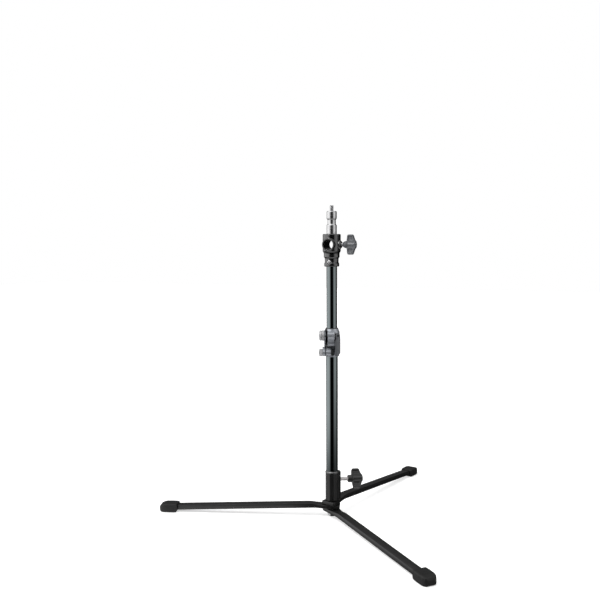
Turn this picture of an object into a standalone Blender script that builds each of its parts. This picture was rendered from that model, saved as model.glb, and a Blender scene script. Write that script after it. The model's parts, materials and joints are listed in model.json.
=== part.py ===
"""Floor light stand: three folding flat legs on a hub bolt, a fluted socket with a clamp knob, a two-section
column with a flip-lever lock, and a head with a 16 mm cross socket and a 16 mm spigot.

Metres, +Z up, floor at z = 0. Everything stands round the column's axis, and one empty, stand_axis, carries
that axis to its place in the plan, so that the origin is under the middle of the whole stand.
Heights below are above the floor, and lengths across are from the column's axis."""

import math

import bmesh
import bpy
from mathutils import Matrix

MM = 0.001
GAP = 0.3 * MM
RUNNING_FIT = 0.1 * MM
ROUND_STEPS = 48
SMALL_STEPS = 24
# Turns a cylinder's corners off those of the shape that it cuts.
CORNER_TURN = 3.4

# Where things point, in degrees anticlockwise from +X, seen from above
LEG_TURNS = {"top": 78.5, "middle": 198.5, "bottom": 318.5}
LOCK_TURN = 24.0
SOCKET_TURN = 32.0

# Column tubes
UPPER_TUBE_R = 8.45 * MM
UPPER_TUBE_WALL = 1.0 * MM
UPPER_TUBE_LENGTH = 260.0 * MM
LOWER_TUBE_R = 9.5 * MM
LOWER_TUBE_WALL = 0.75 * MM
LOWER_TUBE_TOP = 275.4 * MM

# Hub: a stack of leg ends on one bolt, under the socket
LEG_END_THICKNESS = 5.5 * MM
STACK_BOTTOM = 7.4 * MM
STACK_PITCH = 6.6 * MM
WASHER_THICKNESS = 0.5 * MM
WASHER_R = 9.0 * MM
HUB_BOLT_R = 4.0 * MM
HUB_BOLT_CLEAR_R = HUB_BOLT_R + GAP
HUB_HEAD_FLATS = 13.0 * MM
HUB_HEAD_LOW = 0.9 * MM
HUB_FLANGE_R = 8.5 * MM
HUB_FLANGE_THICKNESS = 1.3 * MM

# Legs, along each leg's own X from the hub's axis: flattened ends, then a plain flat bar
LEG_THICKNESS = 7.7 * MM
LEG_HALF_WIDTH = 6.8 * MM
LEG_SPOON_HALF_WIDTH = 12.0 * MM
LEG_SPOON_BACK = 12.6 * MM
LEG_SPOON_END = 26.0 * MM
LEG_END = 280.0 * MM
LEG_END_HEIGHT = 6.4 * MM
LEG_EDGE_BEVEL = 2.6 * MM
JOGGLE_START = 16.0 * MM
JOGGLE_END = 40.0 * MM
SLOPE_FROM = 45.0 * MM
SLOPE_HEIGHTS = {"top": 23.4 * MM, "middle": 17.2 * MM, "bottom": 11.0 * MM}

# Rubber feet
FOOT_MOUTH = 254.0 * MM
FOOT_TIP = 284.6 * MM
FOOT_HALF_WIDTH = 11.5 * MM
FOOT_HEIGHT = 13.9 * MM

# Base socket
SOCKET_TOP = 74.3 * MM
SOCKET_R = 10.75 * MM
SOCKET_BORE_R = LOWER_TUBE_R + GAP
SOCKET_FLUTES = 12
SOCKET_FLUTE_DEPTH = 0.35 * MM
SOCKET_FLOOR = 10.0 * MM
SOCKET_RIM_DROP = 2.6 * MM
RIB_REACH = 13.7 * MM
RIB_WIDTH = 9.0 * MM
RIB_ABOVE_RIM = -0.4 * MM
BASE_SCREW_HEIGHT = 59.8 * MM
BASE_KNOB_START = 25.7 * MM
BASE_KNOB_LENGTH = 24.8 * MM
BASE_KNOB_REST_TURN = -33.0

# Collar between the tubes
COLLAR_BORE_R = LOWER_TUBE_R + GAP
COLLAR_LOW = 260.6 * MM
COLLAR_TOP = 305.4 * MM
SLEEVE_R = 11.4 * MM
RING_R = 12.5 * MM
CLAMP_SPLIT_HEIGHT = 277.2 * MM
CLAMP_SPLIT = 2.2 * MM
LOCK_BOLT_DEPTH = -17.0 * MM
LOCK_BOLT_HEIGHT = 295.8 * MM
LOCK_BOLT_R = 3.0 * MM
EAR_LEFT = -12.6 * MM
EAR_RIGHT = 3.6 * MM
SLIT_LEFT = -10.9 * MM
SLIT_RIGHT = -7.4 * MM
NUT_FLANGE_R = 8.2 * MM
LEVER_PIN_X = 8.9 * MM
LEVER_PIN_R = 1.3 * MM
LEVER_FRONT = -22.3 * MM
LEVER_BACK = -8.0 * MM
LEVER_LENGTH = 32.6 * MM
CHEEK_BACK = -12.0 * MM
LEVER_FORK = 6.6 * MM
CAM_R = 3.6 * MM
CAM_THROW = 0.4 * MM
PINCH_DEPTH = -16.0 * MM
PINCH_HEIGHT = 268.6 * MM
PINCH_BOLT_R = 2.5 * MM
PINCH_EAR_LEFT = -15.0 * MM
PINCH_EAR_RIGHT = -2.3 * MM

# Head
HEAD_LOW = 403.7 * MM
HEAD_TOP = 455.0 * MM
HEAD_R = 14.3 * MM
CROSS_HEIGHT = 438.3 * MM
CROSS_BORE_R = 8.1 * MM
CROSS_BOSS_R = 10.4 * MM
CROSS_FRONT = 16.2 * MM
CROSS_BACK = 12.2 * MM
HEAD_SCREW_BOSS_END = 17.0 * MM
HEAD_KNOB_START = 19.6 * MM
HEAD_KNOB_LENGTH = 21.9 * MM
SET_SCREW_HEIGHT = 411.0 * MM
SET_SCREW_R = 3.2 * MM

# Spigot
SPIGOT_R = 8.0 * MM
SPIGOT_SEAT = 454.6 * MM
SPIGOT_SHOULDER = 491.0 * MM
SPIGOT_TIP_R = 3.15 * MM
SPIGOT_TIP_TOP = 500.0 * MM

# Clamp screws, M6, and their T-knobs, along each knob's own axis from its inner end
SCREW_R = 3.0 * MM
KNOB_WING_START = 6.4 * MM
KNOB_WING_REACH = 15.8 * MM
KNOB_WING_THICKNESS = 6.4 * MM
POCKET_DEPTH = 1.3 * MM
POCKET_START = 6.4 * MM
POCKET_END = 12.8 * MM

# Colour, roughness and metallic value of each finish
FINISHES = {
    "black_anodised": ((0.028, 0.030, 0.033), 0.30, 0.85),
    "black_casting": ((0.022, 0.022, 0.024), 0.42, 0.0),
    "black_steel": ((0.020, 0.020, 0.021), 0.45, 0.0),
    "moulded_black": ((0.030, 0.030, 0.031), 0.50, 0.0),
    "rubber": ((0.018, 0.018, 0.018), 0.75, 0.0),
    "zinc_steel": ((0.62, 0.62, 0.63), 0.28, 1.0),
    "grey_nylon": ((0.30, 0.30, 0.30), 0.55, 0.0),
}


# Scene and placing


def clear_scene():
    for obj in list(bpy.data.objects):
        bpy.data.objects.remove(obj)


def new_collection(name):
    collection = bpy.data.collections.new(name)
    bpy.context.scene.collection.children.link(collection)
    return collection


def finish(name):
    """The material of that finish, made the first time that it is asked for."""
    if name in bpy.data.materials:
        return bpy.data.materials[name]
    colour, roughness, metallic = FINISHES[name]
    material = bpy.data.materials.new(name)
    material.use_nodes = True
    shader = material.node_tree.nodes["Principled BSDF"]
    shader.inputs["Base Color"].default_value = (*colour, 1.0)
    shader.inputs["Roughness"].default_value = roughness
    shader.inputs["Metallic"].default_value = metallic
    return material


def empty(name, parent=None, location=(0, 0, 0), turn_deg=(0, 0, 0)):
    obj = bpy.data.objects.new(name, None)
    obj.empty_display_size = 0.02
    PARTS.objects.link(obj)
    place(obj, parent, location, turn_deg)
    return obj


def place(obj, parent, location=(0, 0, 0), turn_deg=(0, 0, 0)):
    obj.parent = parent
    obj.location = location
    obj.rotation_euler = [math.radians(angle) for angle in turn_deg]
    return obj


def add_mesh(name, mesh, parent, location=(0, 0, 0), turn_deg=(0, 0, 0)):
    obj = bpy.data.objects.new(name, mesh)
    PARTS.objects.link(obj)
    return place(obj, parent, location, turn_deg)


def paint(obj, finish_name):
    obj.data.materials.clear()
    obj.data.materials.append(finish(finish_name))
    obj.data.shade_smooth()
    obj.data.set_sharp_from_angle(angle=math.radians(35))
    return obj


# Shapes


def turned(name, profile, parent, location=(0, 0, 0), turn_deg=(0, 0, 0), steps=ROUND_STEPS, closed=False):
    """A turned shape from (radius, height) points, which run down the outer side, top to bottom."""
    mesh = bpy.data.meshes.new(name)
    points = [(radius, 0.0, height) for radius, height in profile]
    edges = [(i, i + 1) for i in range(len(points) - 1)]
    if closed:
        edges.append((len(points) - 1, 0))
    mesh.from_pydata(points, edges, [])
    obj = add_mesh(name, mesh, parent, location, turn_deg)
    screw = obj.modifiers.new("Turn", "SCREW")
    screw.steps = steps
    screw.render_steps = steps
    screw.use_merge_vertices = True
    screw.merge_threshold = 0.00001
    return baked(obj)


def ring(name, outer, inner, low, high, parent, steps=ROUND_STEPS):
    """A plain tube, open at both ends."""
    profile = [(outer, high), (outer, low), (inner, low), (inner, high)]
    return turned(name, profile, parent, steps=steps, closed=True)


def cylinder(
    name, radius, start, end, parent, location=(0, 0, 0), turn_deg=(0, 0, 0), steps=SMALL_STEPS, corner_deg=CORNER_TURN
):
    """A cylinder along its own Z, from start to end."""
    shape = bmesh.new()
    middle = Matrix.Translation((0, 0, (start + end) / 2))
    bmesh.ops.create_cone(
        shape,
        cap_ends=True,
        segments=steps,
        radius1=radius,
        radius2=radius,
        depth=end - start,
        matrix=middle @ Matrix.Rotation(math.radians(corner_deg), 4, "Z"),
    )
    mesh = bpy.data.meshes.new(name)
    shape.to_mesh(mesh)
    shape.free()
    return add_mesh(name, mesh, parent, location, turn_deg)


def hexagon(name, across_flats, start, end, parent, location=(0, 0, 0), turn_deg=(0, 0, 0)):
    obj = cylinder(name, across_flats / math.sqrt(3), start, end, parent, location, turn_deg, steps=6, corner_deg=0)
    return baked(bevelled(obj, 0.5 * MM, 1))


def block(name, low, high, parent, location=(0, 0, 0), turn_deg=(0, 0, 0)):
    """A box between two corners."""
    size = [b - a for a, b in zip(low, high)]
    middle = [(a + b) / 2 for a, b in zip(low, high)]
    shape = bmesh.new()
    bmesh.ops.create_cube(shape, size=1.0, matrix=Matrix.Translation(middle) @ Matrix.Diagonal((*size, 1)))
    mesh = bpy.data.meshes.new(name)
    shape.to_mesh(mesh)
    shape.free()
    return add_mesh(name, mesh, parent, location, turn_deg)


def plate(name, outline, thickness, parent, location=(0, 0, 0), turn_deg=(0, 0, 0)):
    """A flat outline, filled and thickened both ways from its own XY plane."""
    curve = bpy.data.curves.new(name, "CURVE")
    curve.dimensions = "2D"
    curve.fill_mode = "BOTH"
    curve.extrude = thickness / 2
    spline = curve.splines.new("POLY")
    spline.points.add(len(outline) - 1)
    for point, (x, y) in zip(spline.points, outline):
        point.co = (x, y, 0, 1)
    spline.use_cyclic_u = True
    flat = bpy.data.objects.new(name + "_outline", curve)
    PARTS.objects.link(flat)
    place(flat, parent, location, turn_deg)
    return as_mesh(flat, name)


def as_mesh(curve_object, name):
    """A mesh object in the curve's place, with its loose caps welded on."""
    bpy.context.view_layer.update()
    graph = bpy.context.evaluated_depsgraph_get()
    mesh = bpy.data.meshes.new_from_object(curve_object.evaluated_get(graph))
    shape = bmesh.new()
    shape.from_mesh(mesh)
    bmesh.ops.remove_doubles(shape, verts=shape.verts, dist=0.000001)
    bmesh.ops.recalc_face_normals(shape, faces=shape.faces)
    shape.to_mesh(mesh)
    shape.free()
    obj = bpy.data.objects.new(name, mesh)
    PARTS.objects.link(obj)
    obj.parent = curve_object.parent
    obj.matrix_world = curve_object.matrix_world.copy()
    bpy.data.objects.remove(curve_object)
    return obj


def baked(obj):
    """The same object with its modifiers applied to its mesh."""
    bpy.context.view_layer.update()
    graph = bpy.context.evaluated_depsgraph_get()
    mesh = bpy.data.meshes.new_from_object(obj.evaluated_get(graph))
    obj.modifiers.clear()
    obj.data = mesh
    return obj


def bevelled(obj, width, segments, angle_deg=40):
    bevel = obj.modifiers.new("Bevel", "BEVEL")
    bevel.width = width
    bevel.segments = segments
    bevel.limit_method = "ANGLE"
    bevel.angle_limit = math.radians(angle_deg)
    bevel.use_clamp_overlap = True
    return obj


def combine(target, tool, operation):
    """Adds, cuts or intersects the target with the tool, which then stays hidden among the cutters."""
    PARTS.objects.unlink(tool)
    CUTTERS.objects.link(tool)
    tool.hide_render = True
    tool.display_type = "WIRE"
    boolean = target.modifiers.new(operation.title(), "BOOLEAN")
    boolean.operation = operation
    boolean.solver = "EXACT"
    boolean.object = tool
    return target


def cut(target, *tools):
    for tool in tools:
        combine(target, tool, "DIFFERENCE")
    return target


def join(target, *tools):
    for tool in tools:
        combine(target, tool, "UNION")
    return target


def arc(centre, radius, start_deg, end_deg, steps):
    """Points on an arc, both ends included."""
    angles = [math.radians(start_deg + (end_deg - start_deg) * i / steps) for i in range(steps + 1)]
    return [(centre[0] + radius * math.cos(a), centre[1] + radius * math.sin(a)) for a in angles]


def smooth_step(value, start, end):
    t = min(max((value - start) / (end - start), 0.0), 1.0)
    return t * t * (3 - 2 * t)


def sectioned_bar(name, stations, parent):
    """A bar along X whose section changes at each station: (x, half width, low z, high z)."""
    shape = bmesh.new()
    first, last = stations[0][0], stations[-1][0]
    middle = Matrix.Translation(((first + last) / 2, 0, 0))
    bmesh.ops.create_cube(shape, size=1.0, matrix=middle @ Matrix.Diagonal((last - first, 1, 1, 1)))
    for x, *_ in stations[1:-1]:
        everything = shape.verts[:] + shape.edges[:] + shape.faces[:]
        bmesh.ops.bisect_plane(shape, geom=everything, plane_co=(x, 0, 0), plane_no=(1, 0, 0))
    for vert in shape.verts:
        _, half_width, low, high = min(stations, key=lambda station: abs(station[0] - vert.co.x))
        vert.co.y = math.copysign(half_width, vert.co.y)
        vert.co.z = high if vert.co.z > 0 else low
    mesh = bpy.data.meshes.new(name)
    shape.to_mesh(mesh)
    shape.free()
    return add_mesh(name, mesh, parent)


# Legs and feet


def slot_middle(leg):
    """Height of the middle of that leg's end in the hub's stack."""
    place_in_stack = {"bottom": 0, "middle": 1, "top": 2}[leg]
    return STACK_BOTTOM + LEG_END_THICKNESS / 2 + STACK_PITCH * place_in_stack


def leg_height(leg, x):
    """Height of the leg's middle: level over the hub, then a small joggle, then a straight fall to the foot."""
    fall = (SLOPE_HEIGHTS[leg] - LEG_END_HEIGHT) / (LEG_END - SLOPE_FROM)
    straight = LEG_END_HEIGHT + fall * (LEG_END - x)
    blend = smooth_step(x, JOGGLE_START, JOGGLE_END)
    return slot_middle(leg) * (1 - blend) + straight * blend


def leg_half_width(x):
    """Half the leg's width: a spoon-shaped end that narrows steadily from its corners to the plain bar."""
    corner = 2.4 * MM
    wide_until = -8.0 * MM
    along = min(max((x - wide_until) / (LEG_SPOON_END - wide_until), 0), 1)
    width = LEG_SPOON_HALF_WIDTH * (1 - along) + LEG_HALF_WIDTH * along
    into_corner = -LEG_SPOON_BACK + corner - x
    if into_corner > 0:
        width -= corner - math.sqrt(max(corner**2 - into_corner**2, 0))
    return width


def leg_half_thickness(x):
    """The end is flattened where it is stacked on the bolt."""
    blend = smooth_step(x, JOGGLE_START, JOGGLE_END)
    return (LEG_END_THICKNESS * (1 - blend) + LEG_THICKNESS * blend) / 2


def leg_section(leg, x, room=0.0):
    """One station of the leg: its place, half width, low and high faces, all moved out by the room."""
    middle = leg_height(leg, x)
    half = leg_half_thickness(x) + room
    return (x, leg_half_width(x) + room, middle - half, middle + half)


def make_leg(leg, axis):
    ends = [-12.6, -12.1, -11.3, -10.2, -8.0, 3.0, 13.0, 18.0, 22.0, 26.0, 29.0, 32.0, 36.0, 40.0]
    places = [x * MM for x in ends] + [LEG_END]
    stations = [leg_section(leg, x) for x in places]
    bar = baked(bevelled(sectioned_bar("leg_" + leg, stations, axis), LEG_EDGE_BEVEL, 3, angle_deg=60))
    low, high = STACK_BOTTOM - 2 * MM, STACK_BOTTOM + 4 * STACK_PITCH
    cut(bar, cylinder("cut_pivot_" + leg, HUB_BOLT_CLEAR_R, low, high, axis))
    return paint(bar, "black_steel")


def make_foot(leg, axis):
    """A rubber cap: level underside, rounded outer end, a mouth whose upper lip reaches further in."""
    stations = [
        (FOOT_MOUTH, 10.7 * MM, 0.8 * MM, FOOT_HEIGHT - 0.6 * MM),
        (FOOT_MOUTH + 4 * MM, 11.2 * MM, 0.0, FOOT_HEIGHT),
        (FOOT_MOUTH + 11 * MM, FOOT_HALF_WIDTH, 0.0, FOOT_HEIGHT),
        (FOOT_TIP - 10 * MM, FOOT_HALF_WIDTH, 0.0, FOOT_HEIGHT - 0.2 * MM),
        (FOOT_TIP - 5.5 * MM, 10.7 * MM, 0.0, FOOT_HEIGHT - 0.9 * MM),
        (FOOT_TIP - 2.2 * MM, 8.8 * MM, 0.2 * MM, FOOT_HEIGHT - 2.0 * MM),
        (FOOT_TIP, 6.0 * MM, 1.2 * MM, FOOT_HEIGHT - 3.6 * MM),
    ]
    cap = baked(bevelled(sectioned_bar("foot_" + leg, stations, axis), 2.6 * MM, 3, angle_deg=50))
    slant = block("cut_lip_" + leg, (-8 * MM, -20 * MM, -8 * MM), (0, 20 * MM, 12 * MM), axis)
    place(slant, axis, (FOOT_MOUTH + 2.6 * MM, 0, 0), (0, -16, 0))
    pocket_stations = [leg_section(leg, x, GAP) for x in (FOOT_MOUTH - 6 * MM, LEG_END + GAP)]
    cut(cap, slant, sectioned_bar("cut_pocket_" + leg, pocket_stations, axis))
    return paint(cap, "rubber")


def make_hub_bolt(stand):
    """A flanged hexagon bolt from below, through the three leg ends into the socket's floor."""
    flange_low = STACK_BOTTOM - GAP - HUB_FLANGE_THICKNESS
    top = STACK_BOTTOM + 2 * STACK_PITCH + LEG_END_THICKNESS + GAP + SOCKET_FLOOR - 2 * MM
    profile = [
        (0, top),
        (HUB_BOLT_R - 0.6 * MM, top),
        (HUB_BOLT_R, top - 0.6 * MM),
        (HUB_BOLT_R, flange_low + HUB_FLANGE_THICKNESS),
        (HUB_FLANGE_R, flange_low + HUB_FLANGE_THICKNESS),
        (HUB_FLANGE_R, flange_low + 0.5 * MM),
        (HUB_HEAD_FLATS / 2, flange_low),
        (0, flange_low),
    ]
    bolt = turned("hub_bolt", profile, stand, steps=SMALL_STEPS)
    join(bolt, hexagon("add_hub_head", HUB_HEAD_FLATS, HUB_HEAD_LOW, flange_low + 0.4 * MM, stand))
    return paint(bolt, "zinc_steel")


def make_washers(stand):
    """Thin plastic washers between the leg ends, which let the legs turn."""
    for name, below in (("lower_washer", 0), ("upper_washer", 1)):
        low = STACK_BOTTOM + LEG_END_THICKNESS + STACK_PITCH * below + GAP
        washer = ring(name, WASHER_R, HUB_BOLT_CLEAR_R, low, low + WASHER_THICKNESS, stand, SMALL_STEPS)
        paint(washer, "grey_nylon")


# Base socket


def socket_low():
    return STACK_BOTTOM + 2 * STACK_PITCH + LEG_END_THICKNESS + GAP


def flute(obj):
    """Hollows the outer wall of a turned shape with shallow flutes, one of the ridges on its +X side."""
    for vert in obj.data.vertices:
        radius = math.hypot(vert.co.x, vert.co.y)
        if radius < SOCKET_R - 0.01 * MM:
            continue
        hollow = 0.5 - 0.5 * math.cos(SOCKET_FLUTES * math.atan2(vert.co.y, vert.co.x))
        scale = 1 - SOCKET_FLUTE_DEPTH * hollow**2 / radius
        vert.co.x *= scale
        vert.co.y *= scale
    return obj


def make_socket(side):
    low = socket_low()
    high = SOCKET_TOP
    profile = [
        (0, high),
        (SOCKET_BORE_R + 0.3 * MM, high),
        (SOCKET_R, high - SOCKET_RIM_DROP),
        (SOCKET_R, low + 0.8 * MM),
        (SOCKET_R - 0.8 * MM, low),
        (0, low),
    ]
    socket = flute(turned("base_socket", profile, side, steps=SOCKET_FLUTES * 6))
    rib = block(
        "add_rib",
        (7 * MM, -RIB_WIDTH / 2, low + 0.6 * MM),
        (RIB_REACH, RIB_WIDTH / 2, high + RIB_ABOVE_RIM),
        side,
    )
    join(socket, baked(bevelled(rib, 1.3 * MM, 3)))
    floor = low + SOCKET_FLOOR
    screw_at = (0, 0, BASE_SCREW_HEIGHT)
    cut(
        socket,
        cylinder("cut_bore", SOCKET_BORE_R, floor, high + 3 * MM, side, steps=ROUND_STEPS),
        cylinder("cut_bolt", HUB_BOLT_CLEAR_R, low - 2 * MM, floor + 2 * MM, side, corner_deg=4.1),
        cylinder("cut_base_screw", SCREW_R + GAP, 6 * MM, RIB_REACH + 3 * MM, side, screw_at, (0, 90, 0)),
    )
    return paint(socket, "black_casting")


# Column


def make_tubes(stand):
    floor = socket_low() + SOCKET_FLOOR
    cap_top = floor + GAP + 2.5 * MM
    lower_in = LOWER_TUBE_R - LOWER_TUBE_WALL
    lower = ring("lower_tube", LOWER_TUBE_R, lower_in, cap_top + GAP, LOWER_TUBE_TOP, stand)
    paint(lower, "black_anodised")
    plug_r = lower_in - GAP
    cap_profile = [
        (0, cap_top + 9 * MM),
        (plug_r - 1 * MM, cap_top + 9 * MM),
        (plug_r, cap_top + 8 * MM),
        (plug_r, cap_top),
        (LOWER_TUBE_R, cap_top),
        (LOWER_TUBE_R, cap_top - 1.7 * MM),
        (LOWER_TUBE_R - 0.8 * MM, cap_top - 2.5 * MM),
        (0, cap_top - 2.5 * MM),
    ]
    paint(turned("tube_cap", cap_profile, stand), "moulded_black")
    top = upper_tube_top()
    upper_in = UPPER_TUBE_R - UPPER_TUBE_WALL
    upper = ring("upper_tube", UPPER_TUBE_R, upper_in, top - UPPER_TUBE_LENGTH, top, stand)
    paint(upper, "black_anodised")
    low = top - UPPER_TUBE_LENGTH - GAP
    glide_profile = [
        (upper_in - GAP - 1.5 * MM, low + 10 * MM),
        (upper_in - GAP, low + 9 * MM),
        (upper_in - GAP, low),
        (lower_in - 0.7 * RUNNING_FIT, low),
        (lower_in - 0.7 * RUNNING_FIT, low - 3.2 * MM),
        (lower_in - 1.0 * MM, low - 4 * MM),
        (upper_in - 2.8 * MM, low - 4 * MM),
        (upper_in - 2.8 * MM, low + 10 * MM),
    ]
    paint(turned("glide_plug", glide_profile, stand, closed=True), "grey_nylon")


def upper_tube_top():
    """The tube's end inside the head, under the cross socket."""
    return CROSS_HEIGHT - CROSS_BORE_R - 6.4 * MM


# Lever lock


def make_bushing(side):
    """Liner between the collar and the upper tube, with a thin flange on the collar's top."""
    inner = UPPER_TUBE_R + RUNNING_FIT
    outer = COLLAR_BORE_R - GAP
    bushing = ring("lock_bushing", outer, inner, LOWER_TUBE_TOP + GAP, COLLAR_TOP + 0.8 * MM, side)
    paint(bushing, "moulded_black")


def clamp_outline():
    """Side view of the upper clamp's ears: a round head over the bolt, a web, and a small bead at its foot."""
    nose = (LOCK_BOLT_DEPTH, LOCK_BOLT_HEIGHT)
    foot = CLAMP_SPLIT_HEIGHT + CLAMP_SPLIT / 2
    bead = (-15.6 * MM, foot + 2.2 * MM)
    return [
        (-3 * MM, LOCK_BOLT_HEIGHT + 6.8 * MM),
        *arc(nose, 6.2 * MM, 80, 220, 10),
        (-17.0 * MM, LOCK_BOLT_HEIGHT - 9.2 * MM),
        *arc(bead, 2.2 * MM, 120, 270, 5),
        (-3 * MM, foot),
    ]


def pinch_outline():
    """Side view of the lower clamp's ears, round over their bolt."""
    top = CLAMP_SPLIT_HEIGHT - CLAMP_SPLIT / 2
    return [
        (-0.5 * MM, top),
        (-12.5 * MM, top),
        *arc((PINCH_DEPTH, PINCH_HEIGHT), 5.6 * MM, 110, 265, 9),
        (-0.5 * MM, COLLAR_LOW + 0.8 * MM),
    ]


def make_collar(side):
    """Split casting: the lower sleeve pinches the lower tube, the upper ring clamps the liner on the upper tube."""
    profile = [
        (0, COLLAR_TOP),
        (COLLAR_BORE_R + 0.5 * MM, COLLAR_TOP),
        (COLLAR_BORE_R + 1.2 * MM, COLLAR_TOP - 2.2 * MM),
        (RING_R - 0.4 * MM, COLLAR_TOP - 4.8 * MM),
        (RING_R, COLLAR_TOP - 7.0 * MM),
        (RING_R, CLAMP_SPLIT_HEIGHT),
        (SLEEVE_R, CLAMP_SPLIT_HEIGHT - 2.0 * MM),
        (SLEEVE_R, COLLAR_LOW + 0.8 * MM),
        (SLEEVE_R - 0.6 * MM, COLLAR_LOW),
        (0, COLLAR_LOW),
    ]
    collar = turned("lock_collar", profile, side)
    # The outline's X is depth and its Y is height, so each plate is stood up along X.
    stood_up = (90, 0, 90)
    clamp_middle = ((EAR_LEFT + EAR_RIGHT) / 2, 0, 0)
    clamp = plate("add_clamp_ears", clamp_outline(), EAR_RIGHT - EAR_LEFT, side, clamp_middle, stood_up)
    pinch_middle = ((PINCH_EAR_LEFT + PINCH_EAR_RIGHT) / 2, 0, 0)
    pinch = plate("add_pinch_ears", pinch_outline(), PINCH_EAR_RIGHT - PINCH_EAR_LEFT, side, pinch_middle, stood_up)
    join(collar, baked(bevelled(clamp, 0.8 * MM, 2)), baked(bevelled(pinch, 0.8 * MM, 2)))
    low, high = COLLAR_LOW - 3 * MM, COLLAR_TOP + 3 * MM
    split_low = CLAMP_SPLIT_HEIGHT - CLAMP_SPLIT / 2
    split_high = CLAMP_SPLIT_HEIGHT + CLAMP_SPLIT / 2
    lock_at = (0, LOCK_BOLT_DEPTH, LOCK_BOLT_HEIGHT)
    pinch_at = (0, PINCH_DEPTH, PINCH_HEIGHT)
    cut(
        collar,
        cylinder("cut_collar_bore", COLLAR_BORE_R, low, high, side, steps=ROUND_STEPS),
        block("cut_clamp_slit", (SLIT_LEFT, -30 * MM, split_low), (SLIT_RIGHT, 0, high), side),
        block("cut_relief", (-20 * MM, -30 * MM, split_low), (20 * MM, 3 * MM, split_high), side),
        block("cut_pinch_slit", (SLIT_LEFT, -30 * MM, low), (SLIT_LEFT + 1.4 * MM, 0, split_high), side),
        cylinder("cut_lock_bolt", LOCK_BOLT_R + GAP, -20 * MM, 10 * MM, side, lock_at, (0, 90, 0)),
        cylinder("cut_pinch_bolt", PINCH_BOLT_R + GAP, -20 * MM, 10 * MM, side, pinch_at, (0, 90, 0)),
    )
    return paint(collar, "black_casting")


def make_lock_bolt(side):
    """Draw bolt along the clamp, with an eye for the lever's pin at its right end."""
    at = (0, LOCK_BOLT_DEPTH, LOCK_BOLT_HEIGHT)
    nut_right = EAR_LEFT - GAP
    nut_left = nut_right - 7.7 * MM
    eye_width = LEVER_FORK - 2 * GAP
    bolt = cylinder("lock_bolt", LOCK_BOLT_R, nut_left - 0.6 * MM, LEVER_PIN_X - 1.2 * MM, side, at, (0, 90, 0))
    baked(bevelled(bolt, 0.5 * MM, 1, angle_deg=60))
    eye_at = (LEVER_PIN_X, LOCK_BOLT_DEPTH, LOCK_BOLT_HEIGHT)
    eye = cylinder("add_eye", 3.3 * MM, -eye_width / 2, eye_width / 2, side, eye_at, (90, 0, 0))
    hole = cylinder("cut_eye", LEVER_PIN_R + GAP, -6 * MM, 6 * MM, side, eye_at, (90, 0, 0), steps=16)
    cut(join(bolt, eye), hole)
    paint(bolt, "black_steel")
    # Along the nut's own Z, which points to the left: its flange first, then its barrel.
    flange_profile = [
        (0, 7.7 * MM),
        (6.2 * MM, 7.7 * MM),
        (NUT_FLANGE_R - 0.2 * MM, 6.2 * MM),
        (NUT_FLANGE_R - 0.2 * MM, 3.9 * MM),
        (NUT_FLANGE_R - 1.2 * MM, 3.7 * MM),
        (NUT_FLANGE_R - 1.2 * MM, 3.2 * MM),
        (NUT_FLANGE_R, 3.0 * MM),
        (NUT_FLANGE_R, 0.4 * MM),
        (NUT_FLANGE_R - 0.4 * MM, 0),
        (0, 0),
    ]
    nut_at = (nut_right, LOCK_BOLT_DEPTH, LOCK_BOLT_HEIGHT)
    nut = turned("lock_nut", flange_profile, side, nut_at, (0, -90, 0), steps=SMALL_STEPS)
    cut(nut, cylinder("cut_nut", LOCK_BOLT_R + GAP, -30 * MM, 0, side, at, (0, 90, 0)))
    paint(nut, "zinc_steel")
    washer_at = (EAR_RIGHT + GAP, LOCK_BOLT_DEPTH, LOCK_BOLT_HEIGHT)
    washer = cylinder("cam_washer", 4.4 * MM, 0, 0.7 * MM, side, washer_at, (0, 90, 0))
    cut(washer, cylinder("cut_cam_washer", LOCK_BOLT_R + GAP, -5 * MM, 5 * MM, side, washer_at, (0, 90, 0)))
    paint(washer, "black_steel")


def lever_outline():
    """Front view of the closed lever from its pin: the round cam, then a broad arm that hangs down to a cut-off tip."""
    cam = (-CAM_THROW, 0)
    tip = -LEVER_LENGTH
    return [
        *arc(cam, CAM_R, 40, 235, 14),
        (-3.4 * MM, -6.4 * MM),
        (-4.4 * MM, -9.2 * MM),
        (-4.4 * MM, tip + 1.0 * MM),
        (-3.6 * MM, tip),
        (0.0 * MM, tip),
        (3.8 * MM, tip + 5.2 * MM),
        (3.8 * MM, -1.6 * MM),
        (3.4 * MM, 1.2 * MM),
    ]


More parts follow.
